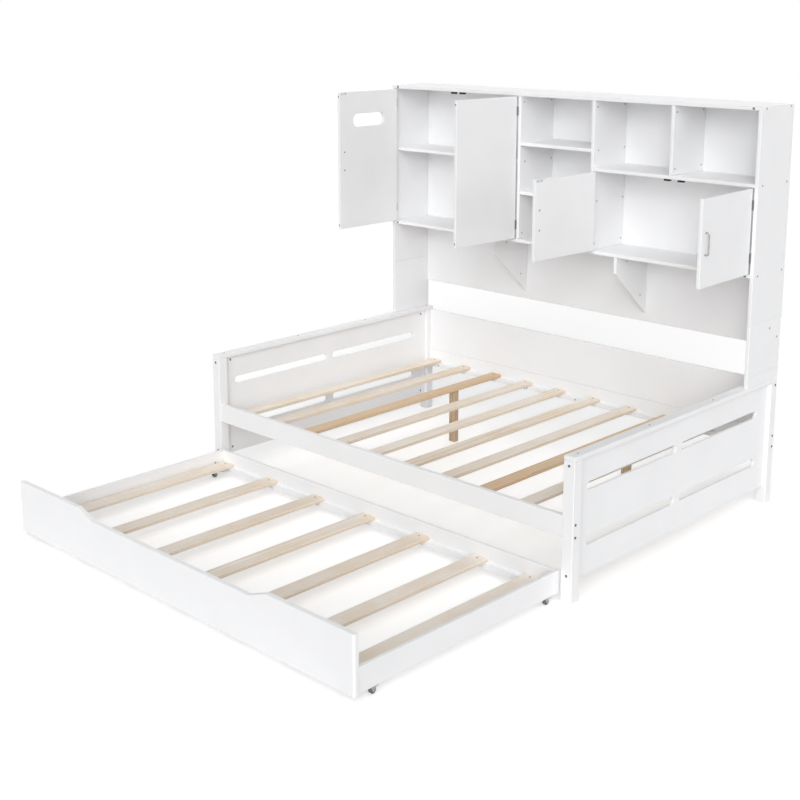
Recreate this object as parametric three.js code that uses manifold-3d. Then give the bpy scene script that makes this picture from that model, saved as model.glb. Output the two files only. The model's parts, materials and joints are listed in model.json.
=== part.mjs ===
// Trundle bed with a bookcase headboard.
// Millimetres, +X along the bed's length, +Y from the front to the headboard, +Z up.
// The origin is on the floor, under the middle of the box round the bed as it stands,
// with its trundle pulled out and its doors open.

import * as THREE from "three";
import { mergeVertices } from "three/addons/utils/BufferGeometryUtils.js";
import Module from "manifold-3d";

const wasm = await Module();
wasm.setup();

// ---- driving dimensions -------------------------------------------------------------------

// shared stock and clearances
const board_thick = 15;
const rail_thick = 22;
const ease = 2;                    // eased edge on every board
const fit_gap = 0.3;               // between two pieces that are fixed face to face
const hole_segments = 8;           // facets on each rounded end of a cut-out

// end frames
const bed_length = 2000;           // over the end posts
const bed_depth = 1401;            // over the end posts
const post_width = 47;
const post_depth = 46;
const cap_height = 544;            // top of the arm rail
const cap_thick = 18;
const end_board_clear = 74;        // end board above the floor
const slot_height = 32;
const slot_low = 203;              // middle of the lower row of slots
const slot_high = 409;             // middle of the upper row
const slot_front_margin = 57;
const slot_rear_margin = 86;
const slot_bridge = 40;            // wood between the two slots of a row

// long rails, back panel and slats of the bed
const rail_clear = 238;            // rail above the floor
const rail_height = 82;
const rail_setback = 4;            // behind the face of the post
const back_panel_top = 530;
const cleat_width = 22;
const cleat_height = 22;
const cleat_end = 12;              // cleat stops short of the posts
const bed_slats = 10;
const slat_width = 60;
const slat_thick = 16;
const slat_drop = 45;              // deck below the top of the rail
const slat_end = 55;               // middle of the first slat from the post
const slat_play = 1;               // free length at each end of a slat
const leg_width = 36;
const leg_depth = 30;
const leg_clear = 27;              // behind the closed trundle
const legged_slats = [3, 8];

// bookcase
const bookcase_depth = 255;
const bookcase_height = 1680;
const bookcase_step = 5;           // bookcase stands this far behind the posts
const side_joint = 804;            // top of the lower side boards
const groove_height = 593;         // shadow line in the lower side boards
const groove_size = 1.6;
const case_floor = 1015;           // top of the bottom board
const apron_bottom = 678;          // lower edge of the bookcase's back
const mid_bay_width = 390;
const mid_bay_spaces = 3;
const low_bay_height = 347.5;      // under the side shelves
const inset_shelf_setback = 20;    // behind the closed doors
const gusset_offset = 339;         // from the middle of the bed
const gusset_nose = 72;
const gusset_height = 285;

// doors
const door_thick = 15;
const door_gap = 2;
const door_open = { one: 90, two: 87, three: 94, four: 92 };   // degrees, as they stand
const hold_length = 207;           // hand-hold cut through door one
const hold_height = 62;
const hold_drop = 135;             // from the door's top to the middle of the hand-hold
const hinge_length = 41;
const hinge_end = 65;              // middle of a hinge from the door's end
const hinge_leaf_width = 16;
const hinge_leaf_thick = 0.8;
const knuckle_radius = 3;
const pull_length = 91;
const pull_radius = 3;
const pull_reach = 18;
const pull_bend = 6;               // middle line of the bends
const pull_edge = 30;              // pull from the door's free edge
const catch_length = 29;
const catch_depth = 14;
const catch_height = 10;
const catch_slits = { left: 24, right: 37 };
const catch_shift = 7;             // to the right of where the doors meet

// trundle
const trundle_depth = 1016;
const trundle_lap = 6;             // still under the bed as it stands, pulled out
const trundle_side_clear = 5;      // to each post
const trundle_top_clear = 8;       // under the front rail
const trundle_panel_clear = 22;    // panel above the floor
const panel_corner = 9;            // rounded upright ends of the panel
const notch_depth = 32;
const notch_width = 900;           // flat part
const notch_slope = 90;            // run of each sloping end
const trundle_rail_inset = 3;
const trundle_rail_height = 87;
const trundle_slats = 7;
const trundle_slat_width = 70;
const trundle_slat_thick = 15;
const trundle_slat_end = 60;       // middle of the first slat from the panel's end
const last_slat_end = 107;         // middle of the last slat, which sits further in
const trundle_cleat_height = 23.7;
const trundle_cleat_width = 16;
const caster_height = 27;
const caster_inset = 68;           // wheel from the panel
const caster_rear = 64;            // wheel from the back of the trundle
const wheel_radius = 11.5;
const wheel_width = 12;
const axle_radius = 2.3;
const wheel_play = 0.3;
const fork_thick = 1.6;
const caster_plate = 2;
const plate_length = 38;
const plate_width = 24;
const block_width = 34;            // wood block inside the side board, over the caster

// ---- places worked out from them ----------------------------------------------------------

const half = bed_length / 2;
const post_inner = half - post_width;
const cap_under = cap_height - cap_thick;
const rail_top = rail_clear + rail_height;
const rear_post_front = bed_depth - post_depth;
const deck = rail_top - slat_drop;
const slat_under = deck - slat_thick;
const front_rail_back = rail_setback + rail_thick;
const rear_rail_front = bed_depth - rail_setback - rail_thick;
const rear_rail_middle = rear_rail_front + rail_thick / 2;
const slat_pitch = (2 * (post_inner - slat_end)) / (bed_slats - 1);

const case_back = bed_depth + bookcase_step;
const case_front = case_back - bookcase_depth;
const back_front = case_back - board_thick;
const side_inner = half - board_thick;
const case_ceiling = bookcase_height - board_thick;
const mid_inner = mid_bay_width / 2;
const mid_outer = mid_inner + board_thick;
const side_bay_width = side_inner - mid_outer;
const side_bay_middle = mid_outer + side_bay_width / 2;
const side_shelf_under = case_floor + low_bay_height;
const side_shelf_top = side_shelf_under + board_thick;
const mid_space = (case_ceiling - case_floor - (mid_bay_spaces - 1) * board_thick) / mid_bay_spaces;

const door_width = (side_bay_width - 3 * door_gap) / 2;
const door_face = knuckle_radius + fit_gap;      // door's front behind the hinge axis
const hinge_axis_y = case_front - door_face;

const panel_half = post_inner - trundle_side_clear;
const panel_top = rail_clear - trundle_top_clear;
const trundle_rail_outer = panel_half - trundle_rail_inset;
const trundle_rail_inner = trundle_rail_outer - board_thick;
const trundle_back_front = trundle_depth - board_thick;
const trundle_cleat_top = caster_height + trundle_cleat_height;
const trundle_slat_pitch = (2 * (panel_half - trundle_slat_end)) / (trundle_slats - 1);
const trundle_pull = trundle_depth - trundle_lap;
const leg_front = trundle_depth + leg_clear;

// ---- finishes -----------------------------------------------------------------------------

const finish = (color, roughness, metalness) =>
  new THREE.MeshStandardMaterial({ color, roughness, metalness });
const paint = () => finish(0xf1f1ef, 0.42, 0);
const pine = () => finish(0xe3c9a0, 0.7, 0);
const brown_pine = () => finish(0xc2935c, 0.7, 0);
const black_plastic = () => finish(0x1b1b1c, 0.5, 0);
const black_tyre = () => finish(0x232324, 0.6, 0);

// ---- shapes -------------------------------------------------------------------------------

// turns a drawing in the XY plane so that it lies in the named plane
const planes = {
  xy: new THREE.Matrix4(),
  xz: new THREE.Matrix4().makeBasis(
    new THREE.Vector3(1, 0, 0), new THREE.Vector3(0, 0, 1), new THREE.Vector3(0, -1, 0)),
  yz: new THREE.Matrix4().makeBasis(
    new THREE.Vector3(0, 1, 0), new THREE.Vector3(0, 0, 1), new THREE.Vector3(1, 0, 0)),
};

// a plate of the drawn outline, centred on its thickness, with eased edges
function plate(shape, thick, plane, edge = ease) {
  const geometry = new THREE.ExtrudeGeometry(shape, {
    depth: thick - 2 * edge,
    bevelEnabled: edge > 0,
    bevelThickness: edge,
    bevelSize: edge,
    bevelOffset: -edge,
    bevelSegments: 1,
    curveSegments: hole_segments,
  });
  geometry.translate(0, 0, edge - thick / 2);
  return geometry.applyMatrix4(planes[plane]);
}

// an outline whose every corner is cut back, a sharp one further than a square one
function eased_outline(corners, cut = ease) {
  const shape = new THREE.Shape();
  corners.forEach((corner, i) => {
    const here = new THREE.Vector2(...corner);
    const before = new THREE.Vector2(...corners.at(i - 1)).sub(here);
    const after = new THREE.Vector2(...corners[(i + 1) % corners.length]).sub(here);
    const angle = before.angleTo(after);
    const room = (1.3 * Math.tan((Math.PI - angle) / 4)) / Math.sin(angle / 2);
    const back = cut * Math.max(1, room);
    const into = before.setLength(back).add(here);
    const out = after.setLength(back).add(here);
    if (i === 0) shape.moveTo(into.x, into.y);
    else shape.lineTo(into.x, into.y);
    shape.lineTo(out.x, out.y);
  });
  shape.closePath();
  return shape;
}

const rectangle = (x0, y0, x1, y1) => [[x0, y0], [x1, y0], [x1, y1], [x0, y1]];

// a cut-out with half-round ends
function stadium(x, y, length, height) {
  const r = height / 2;
  const reach = length / 2 - r;
  const path = new THREE.Path();
  path.absarc(x + reach, y, r, -Math.PI / 2, Math.PI / 2, false);
  path.absarc(x - reach, y, r, Math.PI / 2, (3 * Math.PI) / 2, false);
  path.closePath();
  return path;
}

// an eased board that fills the box from low to high; its grain side is its longest one
function board(low, high, edge = ease) {
  const [x, y, z] = high.map((value, i) => value - low[i]);
  const geometry = plate(
    eased_outline(rectangle(-x / 2, -y / 2, x / 2, y / 2), edge), z, "xy", edge);
  return geometry.translate(...low.map((value, i) => (value + high[i]) / 2));
}

// a plain box that fills the space from low to high, for cutting and for thin metal
function block(low, high) {
  const size = high.map((value, i) => value - low[i]);
  const geometry = new THREE.BoxGeometry(...size);
  return geometry.translate(...low.map((value, i) => (value + high[i]) / 2));
}

// a round bar along X or Z, with the middle of its length at the given point
function bar(radius, length, at, along, segments = 12) {
  const geometry = new THREE.CylinderGeometry(radius, radius, length, segments);
  if (along === "x") geometry.rotateZ(Math.PI / 2);
  else geometry.rotateX(Math.PI / 2);
  return geometry.translate(...at);
}

function solid(geometry) {
  const bare = geometry.clone();
  bare.deleteAttribute("normal");
  bare.deleteAttribute("uv");
  const merged = mergeVertices(bare, 1e-4);
  return new wasm.Manifold(new wasm.Mesh({
    numProp: 3,
    vertProperties: Float32Array.from(merged.attributes.position.array),
    triVerts: Uint32Array.from(merged.index.array),
  }));
}

function surface(manifold) {
  const mesh = manifold.getMesh();
  const geometry = new THREE.BufferGeometry();
  geometry.setAttribute("position", new THREE.BufferAttribute(mesh.vertProperties, 3));
  geometry.setIndex(new THREE.BufferAttribute(mesh.triVerts, 1));
  geometry.computeVertexNormals();
  return geometry;
}

const joined = (...geometries) =>
  surface(geometries.map(solid).reduce((all, next) => all.add(next)));
const cut = (geometry, ...tools) =>
  surface(tools.map(solid).reduce((left, tool) => left.subtract(tool), solid(geometry)));
const shared = (first, second) => surface(solid(first).intersect(solid(second)));

// puts a piece into a group with its own origin at the middle of its box
function place(group, name, geometry, material) {
  geometry.computeBoundingBox();
  const middle = geometry.boundingBox.getCenter(new THREE.Vector3());
  const mesh = new THREE.Mesh(geometry.translate(-middle.x, -middle.y, -middle.z), material());
  mesh.name = name;
  mesh.position.copy(middle);
  group.add(mesh);
  return mesh;
}

// low and high corners of a box given for the right-hand side, on either side of the bed
function sided(side, low, high) {
  if (side > 0) return [low, high];
  return [[-high[0], low[1], low[2]], [-low[0], high[1], high[2]]];
}

const sides = [["left", -1], ["right", 1]];
const number = (i) => String(i).padStart(2, "0");

// ---- the bed ------------------------------------------------------------------------------

const bed = new THREE.Group();

function end_board() {
  const front = post_depth + fit_gap;
  const back = rear_post_front - fit_gap;
  const shape = eased_outline(rectangle(front, end_board_clear, back, cap_under - fit_gap));
  const slots_front = post_depth + slot_front_margin;
  const slots_back = rear_post_front - slot_rear_margin;
  const length = (slots_back - slots_front - slot_bridge) / 2;
  for (const z of [slot_low, slot_high]) {
    shape.holes.push(stadium(slots_front + length / 2, z, length, slot_height));
    shape.holes.push(stadium(slots_back - length / 2, z, length, slot_height));
  }
  return plate(shape, board_thick, "yz");
}

for (const [word, side] of sides) {
  for (const [end, y] of [["front", 0], ["rear", rear_post_front]]) {
    place(bed, `post_${end}_${word}`, board(...sided(side,
      [post_inner, y, 0],
      [half, y + post_depth, cap_under - fit_gap])), paint);
  }
  place(bed, `end_board_${word}`,
    end_board().translate(side * (half - post_width / 2), 0, 0), paint);
  place(bed, `cap_rail_${word}`, board(...sided(side,
    [post_inner, 0, cap_under],
    [half, bed_depth, cap_height])), paint);
}

// a long rail between the posts with the cleat that carries the slats on its inner face
function long_rail(y, cleat_y) {
  const reach = post_inner - fit_gap;
  const cleat_reach = reach - cleat_end;
  const cleat_top = slat_under - fit_gap;
  return joined(
    board([-reach, y, rail_clear], [reach, y + rail_thick, rail_top]),
    board([-cleat_reach, cleat_y, cleat_top - cleat_height],
      [cleat_reach, cleat_y + cleat_width + ease, cleat_top], ease / 2));
}
place(bed, "front_rail", long_rail(rail_setback, front_rail_back - ease), paint);
place(bed, "rear_rail", long_rail(rear_rail_front, rear_rail_front - cleat_width), paint);
place(bed, "back_panel", board(
  [-post_inner + fit_gap, rear_rail_middle - board_thick / 2, rail_top + fit_gap],
  [post_inner - fit_gap, rear_rail_middle + board_thick / 2, back_panel_top]), paint);

for (let i = 1; i <= bed_slats; i += 1) {
  const x = (i - (bed_slats + 1) / 2) * slat_pitch;
  const legged = legged_slats.includes(i);
  place(bed, `bed_slat_${number(i)}`, board(
    [x - slat_width / 2, front_rail_back + slat_play, slat_under],
    [x + slat_width / 2, rear_rail_front - slat_play, deck]), legged ? brown_pine : pine);
  if (legged) {
    place(bed, `support_leg_${x < 0 ? "left" : "right"}`, board(
      [x - leg_width / 2, leg_front, 0],
      [x + leg_width / 2, leg_front + leg_depth, slat_under - fit_gap]), brown_pine);
  }
}

// ---- hinges -------------------------------------------------------------------------------

const third = (hinge_length - 2 * fit_gap) / 3;
const leaf_inner = door_gap / 2 - hinge_leaf_thick;      // leaf's near face from the axis

// The half of a butt hinge that stays on the case, about the hinge axis at the origin.
// The case is on the side that `toward` points to, -1 or 1.
function case_half(toward) {
  const x = [toward * leaf_inner, toward * (door_gap / 2 + fit_gap)].sort((a, b) => a - b);
  return [
    bar(knuckle_radius, third, [0, 0, 0], "z"),
    block([x[0], 0, -third / 2], [x[1], door_face + ease, third / 2]),
    block([x[0], door_face, -hinge_length / 2],
      [x[1], door_face + hinge_leaf_width, hinge_length / 2]),
  ];
}

// the half that turns with the door, which lies on the side that `toward` points to
function door_half(toward) {
  const x = [toward * leaf_inner, toward * (door_gap / 2 + fit_gap)].sort((a, b) => a - b);
  const ends = [-1, 1].map((end) => end * (third + fit_gap));
  return [
    ...ends.map((z) => bar(knuckle_radius, third, [0, 0, z], "z")),
    ...ends.map((z) => block([x[0], 0, z - third / 2], [x[1], door_face + ease, z + third / 2])),
    block([x[0], door_face, -hinge_length / 2],
      [x[1], door_face + door_thick - ease, hinge_length / 2]),
  ];
}

// ---- bookcase -----------------------------------------------------------------------------

// every door: the face it hangs on, the way it reaches from there, its height and its fittings
const tall_door = { low: case_floor + door_gap, high: case_ceiling - door_gap };
const short_door = { low: case_floor + door_gap, high: side_shelf_under - door_gap };
const doors = [
  { name: "door_1", face: -side_inner, way: 1, ...tall_door, open: door_open.one, pull: true,
    hold: true },
  { name: "door_2", face: -mid_outer, way: -1, ...tall_door, open: door_open.two },
  { name: "door_3", face: mid_outer, way: 1, ...short_door, open: door_open.three, pull: true },
  { name: "door_4", face: side_inner, way: -1, ...short_door, open: door_open.four, pull: true },
];
const hinge_heights = (door) => [door.low + hinge_end, door.high - hinge_end];

// the case halves of the hinges that sit on the board with this face
function fixed_hinges(face) {
  const door = doors.find((each) => each.face === face);
  return hinge_heights(door).flatMap((z) => case_half(-door.way).map((piece) =>
    piece.translate(face + (door.way * door_gap) / 2, hinge_axis_y, z)));
}

for (const [word, side] of sides) {
  const upper = board(...sided(side,
    [side_inner, case_front, side_joint],
    [half, case_back, bookcase_height]));
  place(bed, `side_upper_${word}`, joined(upper, ...fixed_hinges(side * side_inner)), paint);

  const lower = board(...sided(side,
    [side_inner, case_front, cap_height + fit_gap],
    [half, bed_depth, side_joint - fit_gap]));
  const line = block(...sided(side,
    [half - groove_size, case_front - 1, groove_height - groove_size / 2],
    [half + 1, bed_depth + 1, groove_height + groove_size / 2]));
  place(bed, `side_lower_${word}`, cut(lower, line), paint);

  const divider = board(...sided(side,
    [mid_inner, case_front, case_floor + fit_gap],
    [mid_outer, back_front - fit_gap, case_ceiling - fit_gap]));
  place(bed, `divider_${word}`, joined(divider, ...fixed_hinges(side * mid_outer)), paint);

  const gusset = plate(eased_outline([
    [case_front, case_floor - board_thick - fit_gap],
    [case_front, case_floor - board_thick - gusset_nose],
    [back_front - fit_gap, case_floor - board_thick - gusset_height],
    [back_front - fit_gap, case_floor - board_thick - fit_gap],
  ]), board_thick, "yz");
  place(bed, `gusset_${word}`, gusset.translate(side * gusset_offset, 0, 0), paint);
}

// a board that lies flat in the bookcase, from one upright's face to another's
function shelf(name, x0, x1, z, setback = 0, back = back_front - fit_gap) {
  place(bed, name, board(
    [x0 + fit_gap, case_front + setback, z],
    [x1 - fit_gap, back, z + board_thick]), paint);
}
shelf("bookcase_top", -side_inner, side_inner, case_ceiling, 0, case_back);
shelf("bookcase_bottom", -side_inner, side_inner, case_floor - board_thick);
shelf("shelf_left", -side_inner, -mid_outer, side_shelf_under, inset_shelf_setback);
shelf("shelf_right", mid_outer, side_inner, side_shelf_under);
for (let i = 1; i < mid_bay_spaces; i += 1) {
  const z = case_floor + i * mid_space + (i - 1) * board_thick;
  shelf(`shelf_middle_${i}`, -mid_inner, mid_inner, z);
}
place(bed, "bookcase_back", board(
  [-side_inner + fit_gap, back_front, apron_bottom],
  [side_inner - fit_gap, case_back, case_ceiling - fit_gap]), paint);
place(bed, "divider_upper_right", board(
  [side_bay_middle - board_thick / 2, case_front, side_shelf_top + fit_gap],
  [side_bay_middle + board_thick / 2, back_front - fit_gap, case_ceiling - fit_gap]), paint);

// a double magnetic catch under a board, just behind the two doors that meet there
function double_catch(word, meeting, top) {
  const x = meeting + catch_shift;
  const y = case_front + door_thick + 2 * fit_gap;
  const low = top - fit_gap - catch_height;
  const inner = catch_slits[word] / 2;
  const reach = inner + catch_length;
  place(bed, `catch_${word}`, joined(
    board([x - reach, y + ease, top - fit_gap - catch_height / 3],
      [x + reach, y + catch_depth - ease, top - fit_gap], ease / 2),
    ...[-1, 1].map((end) => {
      const near = x + end * inner;
      const far = x + end * reach;
      return board([Math.min(near, far), y, low],
        [Math.max(near, far), y + catch_depth, top - fit_gap], ease / 2);
    })), black_plastic);
}
double_catch("left", -side_bay_middle, case_ceiling);
double_catch("right", side_bay_middle, side_shelf_under);

// ---- doors --------------------------------------------------------------------------------

// A round bow pull on the front of a door, with its middle at x and z.
function pull(x, z) {
  const front = door_face - pull_reach + pull_radius;
  const end = pull_length / 2 - pull_radius;
  const at = (y, height) => new THREE.Vector3(x, y, z + height);
  const route = new THREE.CurvePath();
  const line = (from, to) => route.add(new THREE.LineCurve3(from, to));
  const bend = (from, corner, to) => route.add(new THREE.QuadraticBezierCurve3(from, corner, to));
  line(at(door_face + ease, -end), at(front + pull_bend, -end));
  bend(at(front + pull_bend, -end), at(front, -end), at(front, pull_bend - end));
  line(at(front, pull_bend - end), at(front, end - pull_bend));
  bend(at(front, end - pull_bend), at(front, end), at(front + pull_bend, end));
  line(at(front + pull_bend, end), at(door_face + ease, end));
  const section = new THREE.Shape();
  section.absarc(0, 0, pull_radius, 0, 2 * Math.PI, false);
  return [new THREE.ExtrudeGeometry(section, {
    steps: 30, curveSegments: 5, bevelEnabled: false, extrudePath: route,
  })];
}

for (const door of doors) {
  const near = (door.way * door_gap) / 2;
  const far = near + door.way * door_width;
  const [x0, x1] = [near, far].sort((a, b) => a - b);
  const shape = eased_outline(rectangle(x0, door.low, x1, door.high));
  if (door.hold) {
    shape.holes.push(stadium((x0 + x1) / 2, door.high - hold_drop, hold_length, hold_height));
  }
  const leaf = plate(shape, door_thick, "xz").translate(0, door_face + door_thick / 2, 0);
  const hinges = hinge_heights(door).flatMap((z) =>
    door_half(door.way).map((piece) => piece.translate(0, 0, z)));
  const fittings = door.pull
    ? pull(far - door.way * pull_edge, (door.low + door.high) / 2) : [];
  const turned = new THREE.Group();
  turned.position.set(door.face + (door.way * door_gap) / 2, hinge_axis_y, 0);
  turned.rotation.z = -door.way * THREE.MathUtils.degToRad(door.open);
  place(turned, door.name, joined(leaf, ...hinges, ...fittings), paint);
  bed.add(turned);
}

// ---- trundle ------------------------------------------------------------------------------

const trundle = new THREE.Group();
trundle.position.y = -trundle_pull;
bed.add(trundle);

// front panel: a long board with a sloping-ended notch in its top edge and rounded uprights
function trundle_panel() {
  const flat = notch_width / 2;
  const run = flat + notch_slope;
  const low = panel_top - notch_depth;
  const face = plate(eased_outline([
    [-panel_half, trundle_panel_clear],
    [panel_half, trundle_panel_clear],
    [panel_half, panel_top],
    [run, panel_top],
    [flat, low],
    [-flat, low],
    [-run, panel_top],
    [-panel_half, panel_top],
  ]), rail_thick, "xz").translate(0, rail_thick / 2, 0);
  const r = panel_corner;
  const plan = new THREE.Shape();
  plan.moveTo(-panel_half, rail_thick);
  plan.lineTo(-panel_half, r);
  plan.absarc(-panel_half + r, r, r, Math.PI, (3 * Math.PI) / 2, false);
  plan.absarc(panel_half - r, r, r, (3 * Math.PI) / 2, 2 * Math.PI, false);
  plan.lineTo(panel_half, rail_thick);
  plan.closePath();
  const tall = plate(plan, 2 * panel_top, "xy", 0).translate(0, 0, panel_top);
  return shared(face, tall);
}

const cleat_reach = trundle_rail_inner - cleat_end;
const slat_floor = trundle_cleat_top;
place(trundle, "trundle_front", joined(trundle_panel(),
  board([-cleat_reach, rail_thick - ease, caster_height],
    [cleat_reach, rail_thick + trundle_cleat_width, trundle_cleat_top], ease / 2)), paint);
place(trundle, "trundle_back", joined(
  board([-trundle_rail_inner + fit_gap, trundle_back_front, caster_height],
    [trundle_rail_inner - fit_gap, trundle_depth, caster_height + trundle_rail_height]),
  board([-cleat_reach, trundle_back_front - trundle_cleat_width, caster_height],
    [cleat_reach, trundle_back_front + ease, trundle_cleat_top], ease / 2)), paint);

// a rigid caster's plate, two cheeks and axle; the axle's middle is at the origin
const cheek_inner = wheel_width / 2 + 2 * wheel_play;
const cheek_outer = cheek_inner + fork_thick;
const plate_under = caster_height - caster_plate - wheel_radius;
function caster_fork() {
  const cheek_top = plate_under + caster_plate / 2;
  const r = wheel_radius / 2;
  const cheek = new THREE.Shape();
  cheek.moveTo(-wheel_radius, cheek_top);
  cheek.absarc(0, 0, r, Math.PI * 1.08, Math.PI * 1.92, false);
  cheek.lineTo(wheel_radius, cheek_top);
  cheek.closePath();
  return [
    bar(axle_radius, 2 * cheek_outer, [0, 0, 0], "x"),
    ...[-1, 1].map((end) => plate(cheek, fork_thick, "yz", 0)
      .translate(end * (cheek_inner + fork_thick / 2), 0, 0)),
    block([-plate_width / 2, -plate_length / 2, plate_under],
      [plate_width / 2, plate_length / 2, plate_under + caster_plate + fit_gap]),
  ];
}

const caster_x = trundle_rail_outer - plate_width / 2;
const caster_ends = [
  ["front", rail_thick + caster_inset],
  ["rear", trundle_depth - caster_rear],
];

// a trundle side board with the blocks and the rigid casters under its two ends
function trundle_side(side) {
  const rail = board(...sided(side,
    [trundle_rail_inner, rail_thick + fit_gap, caster_height],
    [trundle_rail_outer, trundle_depth, caster_height + trundle_rail_height]));
  const blocks = caster_ends.map(([, y]) => board(...sided(side,
    [trundle_rail_outer - block_width, y - plate_length / 2, caster_height],
    [trundle_rail_inner + ease, y + plate_length / 2, trundle_cleat_top]), ease / 2));
  const forks = caster_ends.flatMap(([, y]) => caster_fork().map((piece) =>
    piece.translate(side * caster_x, y, wheel_radius)));
  return joined(rail, ...blocks, ...forks);
}

function wheel() {
  const w = wheel_width / 2;
  const bore = axle_radius + wheel_play;
  const round = 1.6;
  const points = [
    [bore, -w],
    [wheel_radius - round, -w],
    [wheel_radius, -w + round],
    [wheel_radius, w - round],
    [wheel_radius - round, w],
    [bore, w],
    [bore, -w],
  ].map(([r, x]) => new THREE.Vector2(r, x));
  return new THREE.LatheGeometry(points, 24).rotateZ(-Math.PI / 2);
}

for (const [word, side] of sides) {
  place(trundle, `trundle_rail_${word}`, trundle_side(side), paint);
  for (const [end, y] of caster_ends) {
    place(trundle, `wheel_${end}_${word}`,
      surface(solid(wheel().translate(side * caster_x, y, wheel_radius))), black_tyre);
  }
}

for (let i = 1; i <= trundle_slats; i += 1) {
  const x = i < trundle_slats
    ? (i - (trundle_slats + 1) / 2) * trundle_slat_pitch : panel_half - last_slat_end;
  place(trundle, `trundle_slat_${number(i)}`, board(
    [x - trundle_slat_width / 2, rail_thick + slat_play, slat_floor + fit_gap],
    [x + trundle_slat_width / 2, trundle_back_front - slat_play,
      slat_floor + fit_gap + trundle_slat_thick]), pine);
}

// stand the bed with its origin under the middle of its box
const outline = new THREE.Box3().setFromObject(bed, true);
const centre = outline.getCenter(new THREE.Vector3());
bed.position.set(-centre.x, -centre.y, -outline.min.z);

export default bed;
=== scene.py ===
"""Trundle bed with a bookcase headboard: its finishes, fittings and studio."""

import json
import math

import bpy
from mathutils import Matrix, Vector


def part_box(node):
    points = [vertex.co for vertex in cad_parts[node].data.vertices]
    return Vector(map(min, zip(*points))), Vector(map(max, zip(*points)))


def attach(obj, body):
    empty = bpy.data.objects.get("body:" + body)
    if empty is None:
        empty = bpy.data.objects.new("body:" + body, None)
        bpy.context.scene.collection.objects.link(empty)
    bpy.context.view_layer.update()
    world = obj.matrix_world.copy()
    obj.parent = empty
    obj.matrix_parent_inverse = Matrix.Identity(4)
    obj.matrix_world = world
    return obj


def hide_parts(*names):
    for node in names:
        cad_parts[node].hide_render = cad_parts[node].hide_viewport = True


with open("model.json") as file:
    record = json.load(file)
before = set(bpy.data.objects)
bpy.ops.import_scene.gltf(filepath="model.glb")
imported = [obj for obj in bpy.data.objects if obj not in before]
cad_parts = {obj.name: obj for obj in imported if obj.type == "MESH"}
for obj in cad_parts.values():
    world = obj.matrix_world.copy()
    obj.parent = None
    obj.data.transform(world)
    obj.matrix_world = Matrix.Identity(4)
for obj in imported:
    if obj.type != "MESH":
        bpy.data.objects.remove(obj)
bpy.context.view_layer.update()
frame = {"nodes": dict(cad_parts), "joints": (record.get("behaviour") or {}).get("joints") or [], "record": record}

bl_info = {
    "name": "Trundle bed",
    "version": (1, 0, 0),
    "blender": (4, 5, 0),
    "location": "3D View > Sidebar > Trundle bed",
    "description": "Finishes and fittings of a trundle bed with a bookcase headboard",
    "category": "Object",
}

MM = 0.001

# the middle of the bed's length and the front of its posts; heights are from the floor
MIDDLE = (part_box("post_front_left")[0].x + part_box("post_front_right")[1].x) / 2
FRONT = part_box("post_front_left")[0].y
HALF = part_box("post_front_right")[1].x - MIDDLE
CASE_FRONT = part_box("side_lower_left")[0].y
DIVIDER_INNER = 0.195
BOARD = 0.015
PLATE_HALF = 0.019      # half the length of a caster's plate and of the block that carries it

SIDES = {"left": -1, "right": 1}
JOINTS = {joint["name"]: joint for joint in frame["joints"]}


# ---- sizes and colours ----------------------------------------------------------------------

def length(name, description, value):
    return bpy.props.FloatProperty(
        name=name, description=description, default=value, min=0.0,
        subtype="DISTANCE", unit="LENGTH", precision=4)


def colour(name, description, value):
    return bpy.props.FloatVectorProperty(
        name=name, description=description, default=value, min=0.0, max=1.0,
        size=3, subtype="COLOR")


def share(name, description, value, high=1.0):
    return bpy.props.FloatProperty(
        name=name, description=description, default=value, min=0.0, max=high,
        subtype="FACTOR")


class TrundleBedFinishes(bpy.types.PropertyGroup):
    """Colours and textures of the wood, the paint and the metal."""

    paint: colour("Paint", "Satin white paint on every board", (0.91, 0.912, 0.922))
    worn_paint: colour("Worn paint", "Paint where an edge is rubbed thin", (0.84, 0.835, 0.82))
    paint_gloss: share("Paint roughness", "0 is gloss and 1 is chalk", 0.5)
    pine: colour("Pine", "Pale wood of the slats", (0.955, 0.89, 0.815))
    pine_late: colour("Pine grain", "Darker wood in the grain of the slats", (0.7, 0.55, 0.39))
    pine_warm: colour("Pine patches", "Warmer patches along the slats", (0.89, 0.75, 0.58))
    brown_pine: colour("Brown pine", "Wood of the slats over the legs", (0.81, 0.63, 0.45))
    brown_late: colour("Brown pine grain", "Darker wood in its grain", (0.61, 0.41, 0.24))
    brown_warm: colour("Brown pine patches", "Warmer patches along it", (0.8, 0.56, 0.34))
    leg: colour("Leg", "Wood of the middle legs", (0.62, 0.46, 0.31))
    leg_late: colour("Leg grain", "Darker wood in the grain of the legs", (0.42, 0.28, 0.16))
    nickel: colour("Satin nickel", "Metal of the pulls", (0.5, 0.5, 0.49))
    bright_zinc: colour("Bright zinc", "Metal of the strike plates", (0.82, 0.82, 0.81))
    zinc: colour("Zinc plate", "Metal of the casters", (0.5, 0.5, 0.49))
    hinge_steel: colour("Hinge steel", "Metal of the hinges", (0.2, 0.2, 0.2))
    dark_steel: colour("Dark steel", "Metal of the bolts and screws", (0.035, 0.035, 0.037))
    plastic: colour("Black plastic", "Bodies of the catches", (0.016, 0.016, 0.017))
    tyre: colour("Tyre", "Treads of the casters' wheels", (0.17, 0.17, 0.175))


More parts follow.
